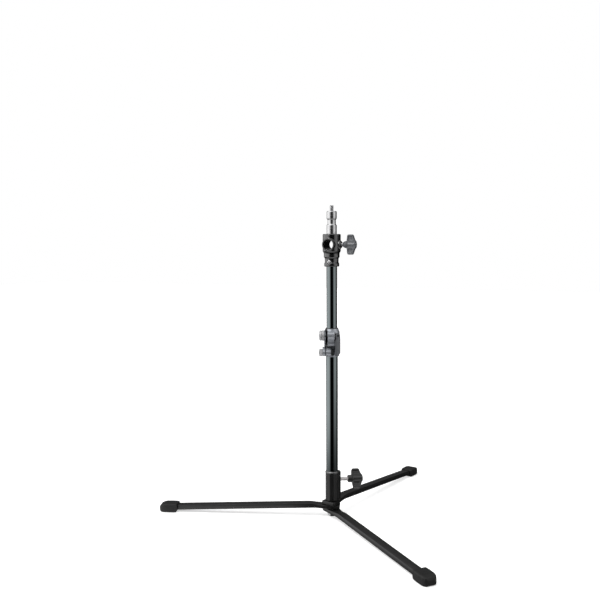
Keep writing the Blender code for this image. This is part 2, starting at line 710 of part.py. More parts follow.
def make_lever(pin_axis):
    """Cam lever, modelled round its pin: two cheeks beside the bolt's eye, and an arm curved round the collar."""
    front = LEVER_FRONT - LOCK_BOLT_DEPTH
    back = LEVER_BACK - LOCK_BOLT_DEPTH
    cheek_back = CHEEK_BACK - LOCK_BOLT_DEPTH
    lever = plate("lock_lever", lever_outline(), back - front, pin_axis, (0, (front + back) / 2, 0), (90, 0, 0))
    lever = baked(bevelled(lever, 0.7 * MM, 2))
    column = (-LEVER_PIN_X, -LOCK_BOLT_DEPTH, 0)
    low, high = -LEVER_LENGTH - 5 * MM, 8 * MM
    rounded = cylinder("keep_lever_front", 23.6 * MM, low, high, pin_axis, column, steps=96)
    combine(lever, rounded, "INTERSECT")
    fork = block(
        "cut_fork", (-9 * MM, -LEVER_FORK / 2, -5.2 * MM), (9 * MM, LEVER_FORK / 2, 9 * MM), pin_axis
    )
    behind_cheeks = block("cut_behind_cheeks", (-9 * MM, cheek_back, -8.4 * MM), (9 * MM, 12 * MM, 9 * MM), pin_axis)
    hollow = cylinder("cut_lever_hollow", RING_R + 0.4 * MM, low, high, pin_axis, column, steps=96)
    hole = cylinder("cut_lever_pin", LEVER_PIN_R + GAP, -9 * MM, 9 * MM, pin_axis, (0, 0, 0), (90, 0, 0), steps=16)
    cut(lever, fork, behind_cheeks, hollow, hole)
    paint(lever, "moulded_black")
    pin_front, pin_back = front + 0.6 * MM, cheek_back + 0.1 * MM
    pin = cylinder("lever_pin", LEVER_PIN_R, -pin_back, -pin_front, pin_axis, (0, 0, 0), (90, 0, 0), steps=16)
    paint(baked(bevelled(pin, 0.3 * MM, 1, angle_deg=60)), "black_steel")


def make_pinch_bolt(side):
    """Socket-head screw through the lower clamp's ears, and its nut at the left."""
    at = (0, PINCH_DEPTH, PINCH_HEIGHT)
    right = PINCH_EAR_RIGHT + GAP
    left = PINCH_EAR_LEFT - GAP
    profile = [
        (0, right + 4.4 * MM),
        (3.6 * MM, right + 4.4 * MM),
        (4.2 * MM, right + 3.8 * MM),
        (4.2 * MM, right),
        (PINCH_BOLT_R, right),
        (PINCH_BOLT_R, left - 5.8 * MM),
        (0, left - 5.8 * MM),
    ]
    bolt = turned("pinch_bolt", profile, side, at, (0, 90, 0), steps=SMALL_STEPS)
    cut(bolt, hexagon("cut_key", 4.0 * MM, right + 1.8 * MM, right + 6 * MM, side, at, (0, 90, 0)))
    paint(bolt, "black_steel")
    nut = hexagon("pinch_nut", 10.4 * MM, left - 5.2 * MM, left, side, at, (0, 90, 0))
    cut(nut, cylinder("cut_pinch_nut", PINCH_BOLT_R + GAP, -30 * MM, 0, side, at, (0, 90, 0)))
    paint(nut, "zinc_steel")


# Head


def make_head(stand):
    profile = [
        (0, HEAD_TOP),
        (HEAD_R - 0.9 * MM, HEAD_TOP),
        (HEAD_R, HEAD_TOP - 1.2 * MM),
        (HEAD_R, 428.0 * MM),
        (13.1 * MM, 426.2 * MM),
        (12.5 * MM, 424.2 * MM),
        (12.5 * MM, 418.6 * MM),
        (11.0 * MM, 416.9 * MM),
        (10.8 * MM, 410.6 * MM),
        (11.9 * MM, 408.4 * MM),
        (11.9 * MM, 404.7 * MM),
        (11.0 * MM, HEAD_LOW),
        (0, HEAD_LOW),
    ]
    head = turned("head_casting", profile, stand)
    cross = (0, 0, CROSS_HEIGHT)
    boss_profile = [
        (0, CROSS_FRONT),
        (CROSS_BOSS_R - 0.4 * MM, CROSS_FRONT),
        (CROSS_BOSS_R, CROSS_FRONT - 0.6 * MM),
        (CROSS_BOSS_R, 0),
        (0, 0),
    ]
    front_boss = turned("add_cross_boss", boss_profile, stand, cross, (90, 0, 0))
    screw_boss_profile = [
        (0, HEAD_SCREW_BOSS_END),
        (4.6 * MM, HEAD_SCREW_BOSS_END),
        (6.8 * MM, HEAD_SCREW_BOSS_END - 2.2 * MM),
        (7.2 * MM, 9 * MM),
        (0, 9 * MM),
    ]
    screw_boss = turned("add_screw_boss", screw_boss_profile, stand, cross, (0, 90, 0), steps=SMALL_STEPS)
    join(head, front_boss, screw_boss)
    set_at = (0, 0, SET_SCREW_HEIGHT)
    seat_top = upper_tube_top() + GAP
    cut(
        head,
        cylinder("cut_spot_face", CROSS_BOSS_R, CROSS_BACK, 20 * MM, stand, cross, (-90, 0, 0), steps=ROUND_STEPS),
        cylinder("cut_cross_bore", CROSS_BORE_R, -25 * MM, 25 * MM, stand, cross, (90, 0, 0), steps=ROUND_STEPS),
        cylinder("cut_head_screw", SCREW_R + GAP, 4 * MM, 25 * MM, stand, cross, (0, 90, 0)),
        cylinder("cut_tube_seat", UPPER_TUBE_R + GAP, HEAD_LOW - 3 * MM, seat_top, stand, steps=ROUND_STEPS),
        cylinder("cut_tenon", 5.3 * MM, HEAD_TOP - 6.6 * MM, HEAD_TOP + 3 * MM, stand),
        cylinder("cut_spigot_seat", SPIGOT_R + GAP, SPIGOT_SEAT - GAP, HEAD_TOP + 3 * MM, stand, steps=ROUND_STEPS),
        cylinder("cut_set_screw", SET_SCREW_R + GAP, 6 * MM, 20 * MM, stand, set_at, (90, 0, 0)),
    )
    return paint(head, "black_casting")


def make_set_screw(stand):
    """Domed screw that holds the head on the tube, in line with the cross socket's mouth."""
    tip = UPPER_TUBE_R + GAP
    profile = [
        (0, 12.6 * MM),
        (2.0 * MM, 12.4 * MM),
        (3.1 * MM, 11.9 * MM),
        (SET_SCREW_R, 11.1 * MM),
        (SET_SCREW_R, tip),
        (0, tip),
    ]
    screw = turned("head_set_screw", profile, stand, (0, 0, SET_SCREW_HEIGHT), (90, 0, 0), steps=20)
    return paint(screw, "zinc_steel")


def make_spigot(stand):
    """Turned 16 mm spigot: a tenon in the head, a groove for the lamp's screw, and a quarter-inch tip."""
    seat = SPIGOT_SEAT
    groove_low, groove_high = 469.0 * MM, 479.0 * MM
    profile = [
        (0, SPIGOT_TIP_TOP),
        (SPIGOT_TIP_R - 0.7 * MM, SPIGOT_TIP_TOP),
        (SPIGOT_TIP_R, SPIGOT_TIP_TOP - 0.7 * MM),
        (SPIGOT_TIP_R, SPIGOT_SHOULDER),
        (SPIGOT_R - 1.0 * MM, SPIGOT_SHOULDER),
        (SPIGOT_R, SPIGOT_SHOULDER - 1.0 * MM),
        (SPIGOT_R, groove_high),
        (6.5 * MM, groove_high - 1.5 * MM),
        (6.5 * MM, groove_low + 1.5 * MM),
        (SPIGOT_R, groove_low),
        (SPIGOT_R, seat + 0.5 * MM),
        (SPIGOT_R - 0.5 * MM, seat),
        (5.0 * MM, seat),
        (5.0 * MM, HEAD_TOP - 6.0 * MM),
        (0, HEAD_TOP - 6.0 * MM),
    ]
    return paint(turned("stud", profile, stand, steps=32), "zinc_steel")


# Clamp screws and T-knobs


def knob_outline(length):
    """Outline of the wings: straight inner side, rounded tips, a bulging outer side, the same above and below."""
    inner, tip, outer = KNOB_WING_START, KNOB_WING_REACH, length
    upper = [
        (inner, 5.0 * MM),
        *arc((inner + 3.6 * MM, tip - 2.6 * MM), 2.6 * MM, 170, 90, 4),
        *arc((outer - 7.6 * MM, tip - 2.6 * MM), 2.6 * MM, 80, 25, 3),
        (outer - 3.0 * MM, tip - 8.2 * MM),
        (outer - 0.8 * MM, 4.6 * MM),
    ]
    lower = [(x, -y) for x, y in reversed(upper)]
    return upper + [(outer, 0.0)] + lower


def make_knob(prefix, screw_tip, knob_start, length, hub_points, axis):
    """A steel screw along the axis empty's Z and the moulded T-knob on its outer end."""
    thread_depth = 12 * MM
    profile = [
        (0, knob_start + thread_depth),
        (SCREW_R, knob_start + thread_depth),
        (SCREW_R, screw_tip + 1.0 * MM),
        (SCREW_R - 0.9 * MM, screw_tip),
        (0, screw_tip),
    ]
    paint(turned(prefix + "_screw", profile, axis, steps=SMALL_STEPS), "zinc_steel")
    ridge_profile = [
        (0, length - 0.6 * MM),
        (3.2 * MM, length - 1.0 * MM),
        (4.0 * MM, length - 2.6 * MM),
        (4.2 * MM, KNOB_WING_START + 2 * MM),
        *hub_points,
        (0, 0),
    ]
    at = (0, 0, knob_start)
    knob = turned(prefix + "_knob", ridge_profile, axis, at, steps=SMALL_STEPS)
    # The outline's X becomes the knob's own axis, and the wings stand up and down.
    stood_up = (-90, -90, 0)
    wings = plate("add_" + prefix + "_wings", knob_outline(length), KNOB_WING_THICKNESS, axis, at, stood_up)
    join(knob, baked(bevelled(wings, 1.3 * MM, 3, angle_deg=50)))
    cut(knob, cylinder("cut_" + prefix + "_knob", SCREW_R + GAP, -3 * MM, thread_depth + GAP, axis, at))
    for face, across in (("front", 1), ("back", -1)):
        for tip, along in (("upper", 1), ("lower", -1)):
            name = "cut_" + prefix + "_pocket_" + face + "_" + tip
            cut(knob, wing_pocket(name, axis, at, length, across, along))
    return paint(knob, "moulded_black")


def wing_pocket(name, axis, at, length, across, along):
    """A shallow recess in one face of one wing, which leaves the ridge along the knob's middle and a rim."""
    face = KNOB_WING_THICKNESS / 2
    depths = sorted((across * (face - POCKET_DEPTH), across * (face + 2 * MM)))
    reaches = sorted((along * POCKET_START, along * POCKET_END))
    low = (reaches[0], depths[0], KNOB_WING_START + 2.2 * MM)
    high = (reaches[1], depths[1], length - 6.0 * MM)
    return baked(bevelled(block(name, low, high, axis, at), 0.9 * MM, 1))


# Plan and assembly


def foot_reach(direction_deg):
    """How far the feet reach from the column's axis in that direction, from the round of their outer ends."""
    return max(
        max(
            x * math.cos(math.radians(turn - direction_deg)) + half * abs(math.sin(math.radians(turn - direction_deg)))
            for x, half in (
                (FOOT_TIP, 3.4 * MM),
                (FOOT_TIP - 0.8 * MM, 5.4 * MM),
                (FOOT_TIP - 2.6 * MM, 8.4 * MM),
                (FOOT_TIP - 10.0 * MM, FOOT_HALF_WIDTH),
            )
        )
        for turn in LEG_TURNS.values()
    )


def column_place():
    """Where the column's axis stands, so that the feet's box is centred on the origin."""
    return ((foot_reach(180) - foot_reach(0)) / 2, (foot_reach(270) - foot_reach(90)) / 2, 0)


def build():
    stand = empty("stand_axis", None, column_place())
    for leg, turn in LEG_TURNS.items():
        leg_axis = empty("leg_axis_" + leg, stand, (0, 0, 0), (0, 0, turn))
        make_leg(leg, leg_axis)
        make_foot(leg, leg_axis)
    make_hub_bolt(stand)
    make_washers(stand)
    socket_side = empty("socket_side", stand, (0, 0, 0), (0, 0, SOCKET_TURN))
    make_socket(socket_side)
    base_axis = empty("base_knob_axis", socket_side, (0, 0, BASE_SCREW_HEIGHT), (0, 90, 0))
    base_wings = empty("base_knob_rest", base_axis, (0, 0, 0), (0, 0, BASE_KNOB_REST_TURN))
    cylindrical_hub = [
        (6.0 * MM, KNOB_WING_START + 0.6 * MM),
        (6.0 * MM, 0.9 * MM),
        (5.2 * MM, 0),
    ]
    make_knob("base", LOWER_TUBE_R + GAP, BASE_KNOB_START, BASE_KNOB_LENGTH, cylindrical_hub, base_wings)
    make_tubes(stand)
    lock_side = empty("lock_side", stand, (0, 0, 0), (0, 0, LOCK_TURN))
    make_bushing(lock_side)
    make_collar(lock_side)
    make_lock_bolt(lock_side)
    make_lever(empty("lever_axis", lock_side, (LEVER_PIN_X, LOCK_BOLT_DEPTH, LOCK_BOLT_HEIGHT)))
    make_pinch_bolt(lock_side)
    make_head(stand)
    make_set_screw(stand)
    make_spigot(stand)
    head_axis = empty("head_knob_axis", stand, (0, 0, CROSS_HEIGHT), (0, 90, 0))
    conical_hub = [
        (6.2 * MM, KNOB_WING_START - 0.4 * MM),
        (5.2 * MM, 2.8 * MM),
        (4.0 * MM, 0.5 * MM),
        (3.7 * MM, 0),
    ]
    make_knob("head", CROSS_BORE_R + GAP, HEAD_KNOB_START, HEAD_KNOB_LENGTH, conical_hub, head_axis)


clear_scene()
PARTS = new_collection("floor_light_stand")
CUTTERS = new_collection("cutters")
CUTTERS.hide_render = True
build()
bpy.context.view_layer.update()
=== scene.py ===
# %% [markdown]
# # A low folding floor stand
#
# The stand has three flat steel legs that fold round one bolt, a fluted socket with a clamp knob,
# a column of two tubes with a flip-lever lock between them, and a cast head with its own clamp knob
# and a spigot. The motion model's solids are loaded first, because every piece below has to sit
# exactly where its solid sits.

# %% Load the solids and measure them
import json
import math

import bmesh
import bpy
from mathutils import Matrix, Vector


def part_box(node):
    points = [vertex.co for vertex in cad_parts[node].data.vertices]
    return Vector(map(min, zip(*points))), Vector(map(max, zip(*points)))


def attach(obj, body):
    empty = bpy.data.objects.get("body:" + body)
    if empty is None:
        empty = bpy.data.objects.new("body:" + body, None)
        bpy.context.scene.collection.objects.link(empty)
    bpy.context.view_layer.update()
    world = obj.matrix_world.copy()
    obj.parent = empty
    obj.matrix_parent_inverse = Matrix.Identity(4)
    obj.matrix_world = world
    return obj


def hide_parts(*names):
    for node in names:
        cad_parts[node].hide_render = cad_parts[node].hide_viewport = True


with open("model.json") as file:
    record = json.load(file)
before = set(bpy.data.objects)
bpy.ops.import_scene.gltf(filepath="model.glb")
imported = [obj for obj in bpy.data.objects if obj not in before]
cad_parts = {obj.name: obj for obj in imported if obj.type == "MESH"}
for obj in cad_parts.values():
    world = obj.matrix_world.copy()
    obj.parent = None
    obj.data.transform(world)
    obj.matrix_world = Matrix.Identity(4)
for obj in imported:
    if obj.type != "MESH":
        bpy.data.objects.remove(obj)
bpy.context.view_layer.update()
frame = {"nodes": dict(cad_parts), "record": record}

MM = 0.001


def middle_of(node):
    low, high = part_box(node)
    return (low + high) / 2


column = middle_of("upper_tube")
column.z = 0
print("column's axis at", [round(value / MM, 2) for value in column], "mm")

# %% [markdown]
# ## The camera
#
# The photograph is taken from a little below the head, at a distance of a bit over a metre, and
# tilted down slightly. The numbers come from matching the tubes, the head, the hub and the three
# feet with their places in the picture. They are counted from the column's foot, in directions
# turned about it, so the camera is placed with the product of matrices below.

# %% Camera
CAMERA_TURN = math.radians(24.31)
CAMERA_TILT = math.radians(4.157)
CAMERA_ROLL = -0.0045
CAMERA_PLACE = Vector((-0.05055, -1.2040, 0.4383))
SENSOR_WIDTH = 36
FOCAL_PIXELS = 759.6
PICTURE_PIXELS = 600

lens = bpy.data.cameras.new("camera")
lens.sensor_width = SENSOR_WIDTH
lens.lens = SENSOR_WIDTH * FOCAL_PIXELS / PICTURE_PIXELS
camera = bpy.data.objects.new("camera", lens)
camera.matrix_world = (
    Matrix.Translation(column)
    @ Matrix.Rotation(CAMERA_TURN, 4, "Z")
    @ Matrix.Translation(CAMERA_PLACE)
    @ Matrix.Rotation(math.pi / 2 - CAMERA_TILT, 4, "X")
    @ Matrix.Rotation(CAMERA_ROLL, 4, "Z")
)
bpy.context.scene.collection.objects.link(camera)
bpy.context.scene.camera = camera
bpy.context.scene.view_settings.view_transform = "Standard"
print("lens", round(lens.lens, 2), "mm")

# %% [markdown]
# ## Small helpers for node materials
#
# Each finish starts from the Principled shader. Its patterns are noise, read from Object
# coordinates in metres, so that a grain has its real size on every piece. Noise that is drawn out
# along one axis makes streaks, and even noise makes grain. One pattern varies the colour, one
# the roughness, and one raises the grain.

# %% Helpers for finishes
NOISE_LOW, NOISE_HIGH = 0.3, 0.7  # noise seldom leaves this range, so a pattern is spread over it


def new_finish(name, metallic=0.0, specular=0.5, coat=0.0, coat_roughness=0.1):
    material = bpy.data.materials.new(name)
    material.use_nodes = True
    shader = material.node_tree.nodes["Principled BSDF"]
    shader.inputs["Metallic"].default_value = metallic
    shader.inputs["Specular IOR Level"].default_value = specular
    shader.inputs["Coat Weight"].default_value = coat
    shader.inputs["Coat Roughness"].default_value = coat_roughness
    return material, material.node_tree, shader


def grey(level):
    return (level, level, level)


def grain(tree, per_metre, detail, stretch=(1, 1, 1)):
    """Noise with so many bumps a metre. A stretch under 1 draws it out along that axis."""
    place = tree.nodes.new("ShaderNodeTexCoord")
    turn = tree.nodes.new("ShaderNodeMapping")
    turn.inputs["Scale"].default_value = stretch
    noise = tree.nodes.new("ShaderNodeTexNoise")
    noise.inputs["Scale"].default_value = per_metre
    noise.inputs["Detail"].default_value = detail
    tree.links.new(place.outputs["Object"], turn.inputs["Vector"])
    tree.links.new(turn.outputs["Vector"], noise.inputs["Vector"])
    return noise.outputs["Fac"]


def vary_roughness(tree, shader, pattern, smooth, rough):
    spread = tree.nodes.new("ShaderNodeMapRange")
    spread.inputs["From Min"].default_value = NOISE_LOW
    spread.inputs["From Max"].default_value = NOISE_HIGH
    spread.inputs["To Min"].default_value = smooth
    spread.inputs["To Max"].default_value = rough
    tree.links.new(pattern, spread.inputs["Value"])
    tree.links.new(spread.outputs["Result"], shader.inputs["Roughness"])


def vary_colour(tree, shader, pattern, dark, light):
    ramp = tree.nodes.new("ShaderNodeValToRGB")
    ramp.color_ramp.elements[0].position = NOISE_LOW
    ramp.color_ramp.elements[0].color = (*dark, 1)
    ramp.color_ramp.elements[1].position = NOISE_HIGH
    ramp.color_ramp.elements[1].color = (*light, 1)
    tree.links.new(pattern, ramp.inputs["Fac"])
    tree.links.new(ramp.outputs["Color"], shader.inputs["Base Color"])


def raise_grain(tree, shader, pattern, depth, strength):
    bump = tree.nodes.new("ShaderNodeBump")
    bump.inputs["Distance"].default_value = depth
    bump.inputs["Strength"].default_value = strength
    tree.links.new(pattern, bump.inputs["Height"])
    tree.links.new(bump.outputs["Normal"], shader.inputs["Normal"])


print("helpers ready")

# %% [markdown]
# ## The finishes
#
# The tubes are drawn aluminium, anodised black: dark, but still a metal, with fine lines along the
# tube from drawing. The head is a polished zinc casting under a glossy black lacquer, so it mirrors
# the room in bright and black bands. The collar and the socket are castings too, but powder-coated,
# which is duller and hides small marks. The collar's coat is painted a lighter, metallic grey,
# which
# is painted light: it stands in for the strong light on it. The legs have the same coat with a
# shallow orange peel.
# The knobs and the lever are moulded nylon with a spark-eroded grain. The lever's and the head
# knob's nylon is painted a lighter grey, which is painted light: a stand-in for the strong light on
# them.
# The caps are plain matt rubber. The screws and nuts are zinc plated, some bright, some tumbled
# dull.

# %% Anodised tube
anodised, tree, shader = new_finish("black_anodised_tube", metallic=1.0)
lines = grain(tree, 2600, 3.0, stretch=(1, 1, 0.012))
vary_colour(tree, shader, lines, (0.130, 0.149, 0.152), (0.163, 0.187, 0.190))
vary_roughness(tree, shader, lines, 0.07, 0.11)
raise_grain(tree, shader, lines, 0.004 * MM, 0.1)
print("made", anodised.name)

# %% Lacquered casting
lacquered, tree, shader = new_finish(
    "glossy_black_casting", specular=1.0, coat=0.25, coat_roughness=0.08
)
vary_colour(tree, shader, grain(tree, 60, 3.0), grey(0.003), grey(0.006))
vary_roughness(tree, shader, grain(tree, 350, 2.0), 0.12, 0.18)
raise_grain(tree, shader, grain(tree, 900, 1.5), 0.02 * MM, 0.25)
print("made", lacquered.name)


# %% Powder-coated castings and steel
def coated(name, dark, light, smooth, rough, specular, metallic=0.0):
    material, tree, shader = new_finish(name, metallic=metallic, specular=specular)
    vary_colour(tree, shader, grain(tree, 60, 3.0), dark, light)
    vary_roughness(tree, shader, grain(tree, 350, 2.0), smooth, rough)
    raise_grain(tree, shader, grain(tree, 900, 1.5), 0.05 * MM, 0.35)
    return material


# The collar's grey is lighter than its black casting: painted light, a stand-in for the strong
# light on it.
painted_light_casting = coated(
    "grey_casting_with_painted_light", (0.300, 0.316, 0.344), (0.350, 0.368, 0.400), 0.26, 0.34,
    specular=1.0, metallic=0.5,
)
coated_casting = coated("black_coated_casting", grey(0.006), grey(0.010), 0.28, 0.38, specular=0.45)
coated_steel = coated("black_coated_steel", grey(0.006), grey(0.010), 0.34, 0.44, specular=0.42)
print("made three powder coats")


# %% Moulded nylon
def nylon(name, dark, light, smooth, rough, specular):
    material, tree, shader = new_finish(name, specular=specular)
    vary_colour(tree, shader, grain(tree, 150, 3.0), dark, light)
    vary_roughness(tree, shader, grain(tree, 900, 2.0), smooth, rough)
    raise_grain(tree, shader, grain(tree, 3200, 2.5), 0.04 * MM, 0.40)
    return material


moulded = nylon("moulded_black_nylon", grey(0.004), grey(0.007), 0.40, 0.50, specular=0.65)
# The lever's and the head knob's nylon is painted lighter than the black moulding: painted light, a
# stand-in for the strong light on them.
painted_light_nylon = nylon(
    "black_nylon_with_painted_light", (0.068, 0.072, 0.080), (0.090, 0.096, 0.106), 0.40, 0.50, specular=0.9
)
print("made two nylons")

# %% Rubber
rubber, tree, shader = new_finish("matt_black_rubber", specular=0.3)
vary_colour(tree, shader, grain(tree, 90, 4.0), grey(0.005), grey(0.010))
vary_roughness(tree, shader, grain(tree, 700, 2.0), 0.50, 0.66)
raise_grain(tree, shader, grain(tree, 1800, 3.0), 0.05 * MM, 0.40)
print("made", rubber.name)


# %% Plated metal, and a pale metal for the socket rim's painted highlight
def metal_finish(
    name, dark, light, smooth, rough, metallic=1.0, specular=0.5, patches=300, marks=5000
):
    """The patches a metre vary the colour, and the marks a metre are the finest dents."""
    material, tree, shader = new_finish(name, metallic=metallic, specular=specular)
    vary_colour(tree, shader, grain(tree, patches, 3.0), dark, light)
    vary_roughness(tree, shader, grain(tree, 1500, 3.0), smooth, rough)
    raise_grain(tree, shader, grain(tree, marks, 1.0), 0.01 * MM, 0.25)
    return material


def tumbled(name, dark, light):
    """Tumbled zinc is duller and whiter than bright plating."""
    return metal_finish(name, dark, light, 0.42, 0.52, metallic=0.45, specular=0.8)


plated = metal_finish(
    "bright_zinc_plating", (0.44, 0.44, 0.45), (0.58, 0.58, 0.58), 0.22, 0.34, patches=400
)
tumbled_zinc = tumbled("tumbled_zinc_plating", (0.36, 0.36, 0.37), (0.44, 0.44, 0.45))
# The base screw's plating is painted paler than the other plating: painted light, a stand-in for
# the light it catches.
paler_zinc_painted_light = tumbled("zinc_plating_painted_light", (0.66, 0.64, 0.64), (0.76, 0.74, 0.74))
dull_zinc = metal_finish("dull_zinc_plating", (0.34, 0.34, 0.35), (0.42, 0.42, 0.43), 0.24, 0.36)
# The socket rim's pale grey metal is a painted highlight: it stands for the light that the mouth's
# chamfer catches from above.
painted_rim_highlight = metal_finish("socket_mouth_painted_highlight", grey(0.13), grey(0.17), 0.40, 0.52, marks=4000)
print("made five bare and plated metals")

# %% Plain nylon
plain_nylon, tree, shader = new_finish("plain_grey_nylon")
vary_colour(tree, shader, grain(tree, 200, 3.0), (0.27, 0.27, 0.26), (0.33, 0.33, 0.32))
vary_roughness(tree, shader, grain(tree, 800, 2.0), 0.45, 0.60)
raise_grain(tree, shader, grain(tree, 2500, 2.0), 0.03 * MM, 0.35)
print("made", plain_nylon.name)

# %% [markdown]
# ## Which finish and which body a piece has
#
# The record says which material slot each solid has and which moving body it belongs to. Reading
# both from there keeps a dressed piece in step with the solid that it stands for. A few pieces
# have a finish of their own, which differs a little from the others on their slot.

# %% Look up finishes, slots and bodies
FINISH_OF_SLOT = {
    "black_anodised": anodised,
    "black_casting": coated_casting,
    "black_steel": coated_steel,
    "moulded_black": moulded,
    "rubber": rubber,
    "zinc_steel": plated,
    "grey_nylon": plain_nylon,
}
FINISH_OF_NODE = {
    "head_casting": lacquered,
    # painted lighter grey: painted light, a stand-in for the strong light on the collar
    "lock_collar": painted_light_casting,
    # painted lighter: painted light, a stand-in for the strong light on the lever and the head knob
    "lock_lever": painted_light_nylon,
    "head_knob": painted_light_nylon,
    "lock_nut": tumbled_zinc,
    # painted paler: painted light, a stand-in for the light the screw catches
    "base_screw": paler_zinc_painted_light,
    "pinch_nut": dull_zinc,
}
SLOT_OF = {entry["node"]: entry["material_slot"] for entry in frame["record"]["subparts"]}
BODY_OF = {
    node: body for body, nodes in frame["record"]["behaviour"]["bodies"].items() for node in nodes
}


def finish_of(node):
    return FINISH_OF_NODE.get(node, FINISH_OF_SLOT[SLOT_OF[node]])


def dress(piece, node):
    """Gives a piece the finish and the body of a solid, and lets it stand for that solid."""
    piece.data.materials.clear()
    piece.data.materials.append(finish_of(node))
    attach(piece, BODY_OF[node])
    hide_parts(node)
    return piece


for name, solid in frame["nodes"].items():
    for material_slot in solid.material_slots:
        material_slot.material = finish_of(name)
print(len(SLOT_OF), "solids have their finish")

# %% [markdown]
# ## Smooth copies of the solids
#
# A solid from the frame is a shell of loose flat triangles. A copy is merged, so that neighbours
# share their corners, and shaded smooth, with creases kept where two faces meet at more than
# a given angle. That is enough for pieces that are bent or cut from plain stock, such as the legs.

# %% Smooth copies of the legs
SAME_CORNER = 0.001 * MM
FLAT_DEG = 0.4
LEG_CREASE_DEG = 32


def to_object(bm, name):
    mesh = bpy.data.meshes.new(name)
    bm.to_mesh(mesh)
    bm.free()
    piece = bpy.data.objects.new(name, mesh)
    bpy.context.scene.collection.objects.link(piece)
    return piece


def creased(piece, crease_deg):
    piece.data.shade_smooth()
    piece.data.set_sharp_from_angle(angle=math.radians(crease_deg))
    return piece


def merged_shell(node):
    bm = bmesh.new()
    bm.from_mesh(frame["nodes"][node].data)
    bmesh.ops.remove_doubles(bm, verts=bm.verts, dist=SAME_CORNER)
    return bm


def smooth_copy(node):
    bm = merged_shell(node)
    flat = math.radians(FLAT_DEG)
    bmesh.ops.dissolve_limit(bm, angle_limit=flat, verts=bm.verts, edges=bm.edges)
    return creased(to_object(bm, node + "_smooth"), LEG_CREASE_DEG)


for leg in ("leg_top", "leg_middle", "leg_bottom"):
    piece = dress(smooth_copy(leg), leg)
    print(piece.name, len(piece.data.polygons), "faces")

# %% [markdown]
# ## Castings and mouldings
#
# A casting or a moulding has no knife edges: every corner is rounded by the tool that made it,
# inside and outside. A voxel remesh of the solid followed by a few rounds of smoothing gives
# exactly those small rounds, because the smoothing only reaches about one voxel deep. So the voxel
# is about the radius that the rounds get.

# %% Rounded castings and mouldings
SOFTENING = 0.5
SOFTENING_ROUNDS = 4
VOXELS = {
    "head_casting": 0.36 * MM,
    "lock_collar": 0.35 * MM,
    "base_socket": 0.36 * MM,
    "lock_lever": 0.26 * MM,
    "head_knob": 0.28 * MM,
    "base_knob": 0.28 * MM,
    "foot_top": 0.40 * MM,
    "foot_middle": 0.40 * MM,
    "foot_bottom": 0.40 * MM,
}


def applied(piece):
    """Keeps the piece's evaluated mesh and drops its modifiers."""
    graph = bpy.context.evaluated_depsgraph_get()
    mesh = bpy.data.meshes.new_from_object(piece.evaluated_get(graph))
    piece.modifiers.clear()
    piece.data = mesh
    return piece


def moulded_copy(node, voxel):
    piece = to_object(merged_shell(node), node + "_moulded")
    remesh = piece.modifiers.new("rounds", "REMESH")
    remesh.mode = "VOXEL"
    remesh.voxel_size = voxel
    remesh.use_smooth_shade = True
    soften = piece.modifiers.new("soften", "SMOOTH")
    soften.factor = SOFTENING
    soften.iterations = SOFTENING_ROUNDS
    return applied(piece)


for node, voxel in VOXELS.items():
    piece = dress(moulded_copy(node, voxel), node)
    print(piece.name, len(piece.data.polygons), "faces")

# %% [markdown]
# ## Turned pieces
#
# Tubes, the spigot, screws and plain nuts are round, so each is a profile spun about its axis.
# The profile lists radius and height pairs. The spin merges its last step into its first, and
# the poles are merged too. Real edges are never knife-sharp, so the profile's corners are first
# replaced by short curves.

# %% Helpers for turned pieces
ROUND_STEPS, SMALL_STEPS, PIN_STEPS = 128, 64, 48
CURVE_STEPS = 3
SIDE_SHARE = 0.45  # a curve takes at most this share of a short side, so that two never meet
TURNED_CREASE_DEG = 30


def rounded(profile, radius, closed=False):
    """The profile with each inner corner cut back by the radius and replaced by a curve."""
    points = [Vector(point) for point in profile]
    soft = []
    for index, corner in enumerate(points):
        if not closed and index in (0, len(points) - 1):
            soft.append(tuple(corner))
            continue
        before = points[index - 1] - corner
        after = points[(index + 1) % len(points)] - corner
        start = corner + before.normalized() * min(radius, SIDE_SHARE * before.length)
        end = corner + after.normalized() * min(radius, SIDE_SHARE * after.length)
        for step in range(CURVE_STEPS + 1):
            along = step / CURVE_STEPS
            soft.append(tuple(start.lerp(corner, along).lerp(corner.lerp(end, along), along)))
    return soft


def turned(name, profile, closed=False, steps=ROUND_STEPS):
    bm = bmesh.new()
    corners = [bm.verts.new((radius, 0, height)) for radius, height in profile]
    ends = corners[1:] + (corners[:1] if closed else [])
    rims = [bm.edges.new(pair) for pair in zip(corners, ends)]
    bmesh.ops.spin(
        bm, geom=corners + rims, cent=(0, 0, 0), axis=(0, 0, 1), dvec=(0, 0, 0),
        angle=2 * math.pi, steps=steps, use_merge=True, use_duplicate=False,
    )
    bmesh.ops.remove_doubles(bm, verts=bm.verts, dist=SAME_CORNER / 2)
    bmesh.ops.recalc_face_normals(bm, faces=bm.faces)
    return creased(to_object(bm, name), TURNED_CREASE_DEG)


def moved(piece, matrix):
    """Bakes a place and a turn into the piece's mesh, so that its object stays at the origin."""
    piece.data.transform(matrix)
    return piece


def beside_column(turn_deg, x=0.0, y=0.0, z=0.0):
    """A place given from the column's axis, in directions turned about it by that angle."""
    turn = Matrix.Rotation(math.radians(turn_deg), 4, "Z")
    return Matrix.Translation(column) @ turn @ Matrix.Translation((x, y, z))


ON_COLUMN = beside_column(0)

# Turns for a piece that was made along Z: along X, against X, and forward, against Y
ALONG_X = Matrix.Rotation(math.radians(90), 4, "Y")
TO_THE_LEFT = Matrix.Rotation(math.radians(-90), 4, "Y")
FORWARD = Matrix.Rotation(math.radians(90), 4, "X")
print("a turned piece has", ROUND_STEPS, "steps")

# %% [markdown]
# The two tubes have square-cut ends with a small chamfer, broken by hand after sawing. Both stand
# on the column's axis.

